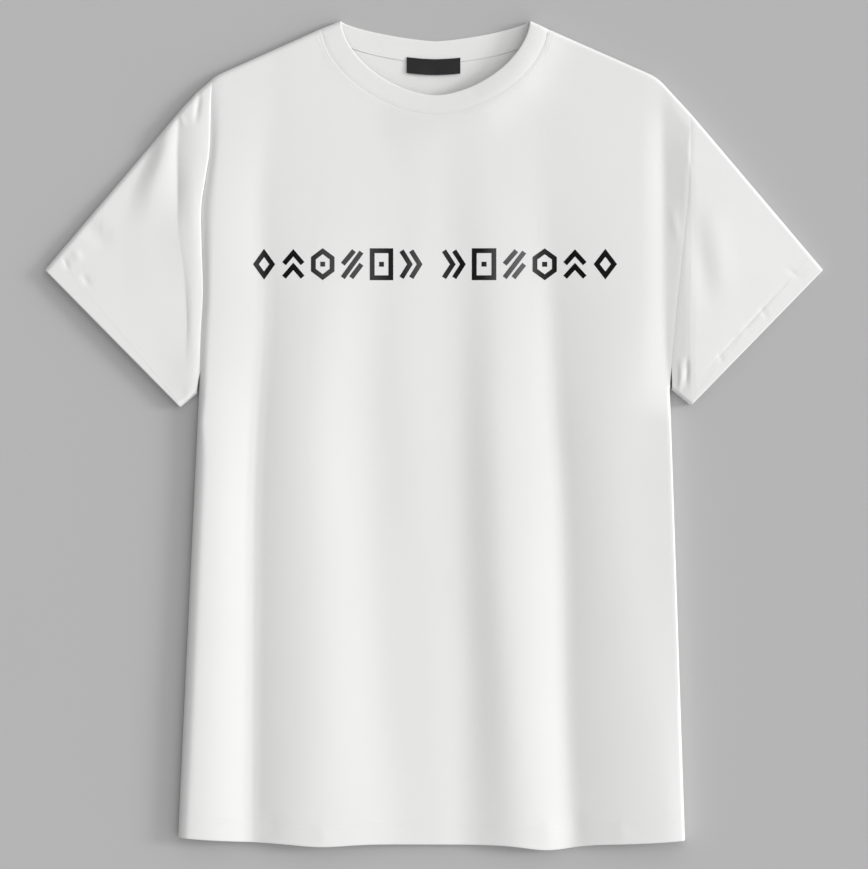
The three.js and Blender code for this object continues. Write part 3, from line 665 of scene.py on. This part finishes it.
HEM_NEEDLES = (16.2, 19.2)  # the twin needle's rows, from the hem's edge
NECK_NEEDLES = (2.6, 5.4)  # and from the neck seam
STITCH_MARGIN, NECK_MARGIN = 3, 0.03  # where the rows stop short of the sides, and the neck's angle
hem_x = np.linspace(RIGHT["hem"][0] + STITCH_MARGIN, LEFT["hem"][0] - STITCH_MARGIN, 240)
front_hem_stitches = sew(
    "front_hem_stitches", [face_line(hem_x, hem_line(hem_x) + d, upper_height) for d in HEM_NEEDLES]
)
row_angles = np.linspace(NECK_MARGIN, math.pi - NECK_MARGIN, 200)
neck_rows = [neck_line(FRONT_NECK, row_angles, away) for away in NECK_NEEDLES]
neck_stitches = sew("neck_stitches", [face_line(*row.T, upper_height) for row in neck_rows])

# ---------------------------------------------------------------- chest print
# The chest print is a thin film of black ink that follows the front: two groups of plain
# geometric marks, each made of broad strokes. The ink fades to grey and back along the row.

PRINT_LOW, PRINT_HIGH = 142.9, 172.4
PRINT_GROUPS = ((-168.0, -10.5), (7.0, 169.7))
MARK_GAP, STROKE, STROKE_COLUMNS = 5.4, 4.5, 5
FILM, FILM_STEP = 0.12, 1.3  # the film's wall, and the length of its faces
# A mark's strokes are paths in a box of 1 by 1, and are closed into a ring or open.
DIAMOND = (((0.5, 0.08), (0.94, 0.5), (0.5, 0.92), (0.06, 0.5)), True)
HEXAGON = (((0.5, 0.02), (1, 0.28), (1, 0.72), (0.5, 0.98), (0, 0.72), (0, 0.28)), True)
SQUARE = (((0, 0), (1, 0), (1, 1), (0, 1)), True)
DOT = (((0.37, 0.5), (0.63, 0.5)), False)
MARKS = (
    (DIAMOND,),
    ((((0, 0.52), (0.5, 0.92), (1, 0.52)), False), (((0, 0.02), (0.5, 0.42), (1, 0.02)), False)),
    (HEXAGON, DOT),
    ((((0, 0.5), (0.6, 1)), False), (((0, 0), (1, 0.95)), False), (((0.45, 0), (1, 0.5)), False)),
    (SQUARE, DOT),
    ((((0, 0), (0.45, 0.5), (0, 1)), False), (((0.52, 0), (0.97, 0.5), (0.52, 1)), False)),
)


def stroke(path, closed):
    """A broad stroke along a path, as a grid of places: steps along it, by columns across it."""
    path = np.array(path, float)
    forward = unit(np.roll(path, -1, axis=0) - path)
    if not closed:
        forward[-1] = forward[-2]
    before = np.roll(forward, 1, axis=0)
    if not closed:
        before[0] = forward[0]
    left = np.stack([-forward[:, 1], forward[:, 0]], -1)
    corner = unit(left + np.stack([-before[:, 1], before[:, 0]], -1))
    reach = corner / (corner * left).sum(-1, keepdims=True) * STROKE / 2
    edges = np.stack([path + share * reach for share in np.linspace(-1, 1, STROKE_COLUMNS)], 1)
    ends = np.roll(edges, -1, axis=0)
    rows = []
    for k in range(len(path) - (not closed)):
        steps = max(2, round(math.dist(path[k], path[(k + 1) % len(path)]) / FILM_STEP))
        rows.append(mix(edges[k], ends[k], np.arange(steps)[:, None, None] / steps))
    if not closed:
        rows.append(edges[-1:])
    return np.concatenate(rows)


films = []
for (start, end), marks in zip(PRINT_GROUPS, (MARKS, MARKS[::-1])):
    pitch = (end - start + MARK_GAP) / len(marks)
    for k, mark in enumerate(marks):
        low = np.array([start + k * pitch, PRINT_LOW]) + STROKE / 2
        span = np.array([pitch - MARK_GAP, PRINT_HIGH - PRINT_LOW]) - STROKE
        for path, closed in mark:
            place = stroke(low + span * np.array(path), closed)
            points, normals = face_line(place[..., 0], place[..., 1], upper_height)
            films.append(cut_cloth("ink", points + FILM / 4 * normals, FILM, closed=closed))
for film in films:
    film.select_set(True)
bpy.ops.object.join()
chest_print = bpy.context.object
chest_print.name = "chest_print"

ink, tree, shader, place = new_material("black ink")
across = build(tree, "ShaderNodeSeparateXYZ", {0: place["Object"]}).outputs["X"]
row_ends = {"From Min": PRINT_GROUPS[0][0] * MM, "From Max": PRINT_GROUPS[1][1] * MM}
along_row = build(tree, "ShaderNodeMapRange", {"Value": across, **row_ends}).outputs[0]
fade = build(tree, "ShaderNodeValToRGB", {"Fac": along_row})
INK_FADE = (  # how far along the row, and how grey
    (0.0, 0.055), (0.04, 0.01), (0.08, 0.003), (0.13, 0.006), (0.2, 0.05), (0.29, 0.07), (0.35, 0.03),
    (0.38, 0.01), (0.41, 0.02), (0.46, 0.08), (0.53, 0.03), (0.57, 0.004), (0.63, 0.01), (0.68, 0.08),
    (0.74, 0.13), (0.79, 0.03), (0.84, 0.003), (0.9, 0.003), (1.0, 0.006),
)
for k, (stop, grey) in enumerate(INK_FADE):
    element = fade.color_ramp.elements[k] if k < 2 else fade.color_ramp.elements.new(stop)
    element.position = stop
    element.color = (grey, grey, grey, 1)
uneven = cotton_noise(tree, place)
worn = math_node(tree, "MULTIPLY", uneven["Fuzz"], 0.02)
tone = colour_mix(tree, worn, fade.outputs[0], (0.3, 0.3, 0.3, 1))
surface(tree, shader, tone, uneven["Yarn"], (0.62, 0.8), uneven["Yarn"], 0.4, 0.0001)
shader.inputs["Specular IOR Level"].default_value = 0.03
chest_print.data.materials.append(ink)
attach(chest_print, "root")

# With its stitches and its print made, the front is complete.
finish_cloth(
    shirt_front, jersey, "front_panel",
)

# ---------------------------------------------------------------- back
# The back is the lower layer, cut in one from the same jersey with a shallower neck. It lies on
# its outer face and rises to meet the front where the sides and the shoulders roll.

BACK_NECK = (SEAM_ENDS, 31.2, 1.7)
LOWER_ROLL = 5  # how far in from a rolled edge the lower layer lies on the surface


def lower_height(x, y, seam_gap=0):
    """Middle of the lower layer, which lies on the surface and rises at its rolled edges."""
    edge = REST + EDGE_RISE * (fold_height(x, y) - REST) - seam_gap / 2
    return mix(edge, REST, quarter_round(distance(x, y, rolled_edges)[0], LOWER_ROLL))


back_x, back_y = panel_places(BACK_NECK)
back_z = lower_height(back_x, back_y, body_seam_gap(back_x, back_y))
back_points = np.stack([back_x, back_y, back_z], -1)[::-1]
back_normals = facing(back_points)
back_points += (CUT_WALL - JERSEY_WALL) / 2 * back_normals
back_points = turned_under(back_points, back_normals, HEM_DEPTH_ROWS)
shirt_back = cut_cloth("shirt_back", back_points, JERSEY_WALL)
SUNK = 0.2  # stitches under the shirt are pressed into the cloth, so that it lies flat


def back_face(x, y):
    """The height that stitches under the shirt are sewn from."""
    return lower_height(x, y) + SUNK


back_hem_stitches = sew(
    "back_hem_stitches", [face_line(hem_x, hem_line(hem_x) + d, back_face, -1) for d in HEM_NEEDLES]
)
finish_cloth(
    shirt_back, jersey, "back_panel",
)

# ---------------------------------------------------------------- sleeves
# Each sleeve is a short tube of jersey, folded along its top and sewn under the arm. It lies
# flat in two layers, is set into the armhole and has its cuff turned up inside.

SLEEVE_ROWS, SLEEVE_COLUMNS = 96, 100
NOTCH_LENGTH = 24  # up the armhole from the underarm, where the notch between sleeve and body closes
CUFF_MARGIN = 0.015  # where the cuff's stitches stop short of its ends, as a share of it
UNDERARM_ROLL = LOWER_ROLL * (1 - np.cos(np.linspace(0, math.pi / 2, 7)))


def at_share(line, share):
    """Places at shares of a line's length."""
    steps = np.hypot(*np.diff(line, axis=0).T)
    run = np.concatenate([[0], np.cumsum(steps)]) / steps.sum()
    return np.stack([np.interp(share, run, line[:, k]) for k in range(2)], -1)


def sleeve_places(side, outward, top, under, along_it, across_it):
    """Places on a patch between the armhole, the cuff, the fold on top and the seam underneath."""
    y = mix(top[0, 1], under[0, 1], across_it)
    closing = smooth((y - side["underarm"][1]) / NOTCH_LENGTH)
    armhole = np.stack([side_x(side, y) + outward * mix(NOTCH_GAP, ARMHOLE_GAP, closing), y], -1)
    cuff = mix(np.array(side["cuff_top"]), np.array(side["cuff_bottom"]), across_it[..., None])
    fold, seam = at_share(top, along_it), at_share(under, along_it)
    on_fold = mix(top[0], np.array(side["cuff_top"]), along_it[..., None])
    on_seam = mix(under[0], np.array(side["cuff_bottom"]), along_it[..., None])
    ruled = mix(armhole, cuff, along_it[..., None]) + mix(fold, seam, across_it[..., None])
    return np.moveaxis(ruled - mix(on_fold, on_seam, across_it[..., None]), -1, 0)


def make_sleeve(name, side, outward, top, under):
    """A tube: the upper layer, round the fold and the underarm seam, and the lower layer."""
    length = np.hypot(*np.diff(top, axis=0).T).sum()
    across = math.dist(side["cuff_top"], side["cuff_bottom"])
    near_armhole = np.array([6, 4, 2.6, 1.6, 0.9, 0.4, 0]) / length
    cuff_rows = 1 - HEM_ROWS / length
    run = np.concatenate(
        [cuff_rows, np.linspace(cuff_rows[-1], near_armhole[0], SLEEVE_ROWS)[1:-1], near_armhole]
    )
    shares = np.concatenate(
        [
            roll_steps / across,
            np.linspace(UPPER_ROLL, across - UNDERARM_ROLL[-1], SLEEVE_COLUMNS)[1:-1] / across,
            1 - UNDERARM_ROLL[::-1] / across,
        ]
    )
    station, share = np.meshgrid(run, shares)
    x, y = sleeve_places(side, outward, top, under, station, share)
    over = np.stack([x, y, upper_height(x, y)], -1)
    below = np.stack([x, y, lower_height(x, y)], -1)
    ring = np.concatenate([over[::-1], below[1:-1]])
    if outward < 0:
        ring = ring[::-1]
    normals = facing(ring, closed=True)
    ring = ring + (CUT_WALL - JERSEY_WALL) / 2 * normals
    return cut_cloth(name, turned_under(ring, normals, HEM_DEPTH_ROWS), JERSEY_WALL, closed=True)


def cuff_stitches(name, side, outward, top, under):
    length = np.hypot(*np.diff(top, axis=0).T).sum()
    share = np.linspace(CUFF_MARGIN, 1 - CUFF_MARGIN, 120)
    rows = []
    for line in HEM_NEEDLES:
        x, y = sleeve_places(side, outward, top, under, np.full_like(share, 1 - line / length), share)
        rows += [face_line(x, y, upper_height), face_line(x, y, back_face, -1)]
    return sew(name, rows)


for name, node, side, outward, top, under, flat, area in (
    ("sleeve_right", "right_sleeve", RIGHT, -1, right_sleeve_top, right_underarm, (0.56, 0.19), 0.0523),
    ("sleeve_left", "left_sleeve", LEFT, 1, left_sleeve_top, left_underarm, (0.54, 0.175), 0.0425),
):
    sleeve = make_sleeve(name, side, outward, top, under)
    stitches = cuff_stitches(name + "_cuff_stitches", side, outward, top, under)
    finish_cloth(
        sleeve, jersey, node,
    )

# ---------------------------------------------------------------- neckband
# The band is one ring of ribbed cotton, folded double, with its fold at the free edge. Its front
# half lies on the front layer and its back half on the back, and it turns over at the shoulders.

FRONT_FREE = (FREE_ENDS, 69.4, 1.72)
BACK_FREE = (FREE_ENDS, 18.5, 1.35)
RIB_WALL, BAND_TURN = 0.6, 0.35
END_ANGLE = 0.2  # by the shoulders the band's columns lie closer together
end_angles = END_ANGLE * (np.arange(8) / 8) ** 1.6
band_angles = np.concatenate(
    [end_angles, np.linspace(END_ANGLE, math.pi - END_ANGLE, 90), math.pi - end_angles[::-1]]
)
band_shares = np.concatenate([np.linspace(0, 0.86, 11), [0.92, 0.96, 0.985, 1]])


def band_places(seam, free, angle, share):
    """From the free edge at share 0 to the seam at share 1."""
    return np.moveaxis(mix(neck_line(free, angle), neck_line(seam, angle), share[..., None]), -1, 0)


share_grid, angle_grid = np.meshgrid(band_shares, band_angles)
x, y = band_places(FRONT_NECK, FRONT_FREE, angle_grid, share_grid)
band_front = np.stack([x, y, upper_height(x, y)], -1)
x, y = band_places(BACK_NECK, BACK_FREE, angle_grid, share_grid)
band_back = np.stack([x, y, lower_height(x, y)], -1)
band = np.concatenate([band_front, band_back[::-1][1:-1]])[::-1]
band_normals = facing(band, closed=True)
band = band + (CUT_WALL - RIB_WALL) / 2 * band_normals
band = turned_under(band, band_normals, len(band_shares) - 2, BAND_TURN)
neck_rib = cut_cloth("neck_rib", band, RIB_WALL, closed=True)
rib = cotton_material(
    "white rib", (0.815, 0.815, 0.81), (0.765, 0.765, 0.76), 0.0011, 0.0008, 0.5, ribbed=0.0022
)
finish_cloth(
    neck_rib, rib, "neckband",
)

# ---------------------------------------------------------------- neck label
# A blank black satin label lies inside the back, over the neck seam. It is woven.

LABEL_WALL, LABEL_LENGTH = 0.45, 14.8
LABEL_COLUMNS, LABEL_ROWS = 40, 14
LABEL_MARGIN = 0.1  # inside its solid at each end
ABOVE_SEAM = 3.6
LABEL_CURL = 0.9  # how far its lower edge lifts
label_low, label_high = (np.array(corner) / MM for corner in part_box("neck_label"))
label_share = np.linspace(0, 1, LABEL_COLUMNS)
label_x = mix(label_low[0] + LABEL_MARGIN, label_high[0] - LABEL_MARGIN, label_share)
seam_points = neck_line(BACK_NECK, np.linspace(END_ANGLE, math.pi - END_ANGLE, 400))
label_top = np.interp(label_x, seam_points[:, 0], seam_points[:, 1]) + ABOVE_SEAM
down = np.linspace(1, 0, LABEL_ROWS)
label_y = label_top[:, None] - LABEL_LENGTH * down
middle_height = (label_low[2] + label_high[2]) / 2
ripple = 1 - 0.35 * np.cos(4 * math.pi * label_share)[:, None]
label_z = middle_height + LABEL_CURL * down**2 * ripple
label_points = np.stack([np.broadcast_to(label_x[:, None], label_y.shape), label_y, label_z], -1)
woven_label = cut_cloth("woven_label", label_points, LABEL_WALL)

satin, tree, shader, place = new_material("black satin")
warp, weft = (
    build(
        tree, "ShaderNodeTexWave", {"Vector": place["UV"], "Scale": scale, "Distortion": distortion},
        bands_direction=direction,
    ).outputs["Fac"]
    for direction, scale, distortion in (("X", 420, 0.6), ("Y", 260, 0.4))
)
weave = weighted_sum(tree, (warp, 1), (weft, 0.5))
cloud = cotton_noise(tree, place)["Cloud"]
tone = colour_mix(tree, cloud, (0.006, 0.006, 0.007, 1), (0.014, 0.014, 0.015, 1))
surface(tree, shader, tone, weave, (0.42, 0.6), weave, 0.4, 0.00008)
shader.inputs["Specular IOR Level"].default_value = 0.3
finish_cloth(
    woven_label, satin, "neck_label",
)

# ---------------------------------------------------------------- floor, light and camera
# The shirt lies on a plain pale grey floor, under soft light from all round and one low soft
# light from its left. The camera looks straight down at it from high above.

bpy.ops.object.select_all(action="DESELECT")
bpy.ops.mesh.primitive_plane_add(size=30, location=(0, 0, cad_box[0][2]))
floor = bpy.context.object
floor.name = "floor"
grey, tree, shader, place = new_material("pale grey floor")
grain = build(tree, "ShaderNodeTexNoise", {"Vector": place["Object"], "Scale": 3}).outputs[0]
tone = colour_mix(tree, grain, (0.452, 0.452, 0.452, 1), (0.462, 0.462, 0.462, 1))
tree.links.new(tone, shader.inputs["Base Color"])
shader.inputs["Roughness"].default_value = 0.9
shader.inputs["Specular IOR Level"].default_value = 0.1
floor.data.materials.append(grey)

KEY_SHARE = 0.17  # of the light on the floor
KEY_HEIGHT, KEY_TURN = math.radians(20), math.radians(8)  # above the floor, and from +X towards +Y
KEY_SPREAD = math.radians(14)  # how wide the light is, and so how soft its shadow
SIDE_GLOW = 0.95  # how much stronger the soft light is on the shirt's left than overhead
world = bpy.data.worlds.new("soft light all round")
world.use_nodes = True
tree = world.node_tree
directions = {
    0: build(tree, "ShaderNodeTexCoord").outputs["Generated"],
    1: (math.cos(KEY_TURN), math.sin(KEY_TURN), 0),
}
leftness = build(tree, "ShaderNodeVectorMath", directions, operation="DOT_PRODUCT").outputs["Value"]
glow = math_node(tree, "ADD", math_node(tree, "MULTIPLY", leftness, SIDE_GLOW), 1.0)
glow = math_node(tree, "MULTIPLY", glow, 1 - KEY_SHARE)
tree.links.new(glow, tree.nodes["Background"].inputs["Strength"])
tree.nodes["Background"].inputs["Color"].default_value = (1, 1, 1, 1)
bpy.context.scene.world = world
bpy.ops.object.light_add(type="SUN", rotation=(0, math.pi / 2 - KEY_HEIGHT, KEY_TURN))
key = bpy.context.object
key.data.energy = KEY_SHARE * math.pi / math.sin(KEY_HEIGHT)
key.data.angle = KEY_SPREAD

VIEW_WIDTH, LENS, FILM_WIDTH = 0.803, 150, 36  # metres across the picture, then millimetres
SHIRT_HEIGHT = 0.007  # where the picture's width is measured
camera_height = SHIRT_HEIGHT + VIEW_WIDTH * LENS / FILM_WIDTH
middle = [(low + high) / 2 for low, high in zip(*cad_box)]
bpy.ops.object.camera_add(location=(middle[0], middle[1], camera_height), rotation=(0, 0, 0))
camera = bpy.context.object
camera.data.lens, camera.data.sensor_width, camera.data.sensor_fit = LENS, FILM_WIDTH, "HORIZONTAL"
camera.data.clip_end = 50
bpy.context.scene.camera = camera
bpy.context.scene.view_settings.view_transform = "Standard"
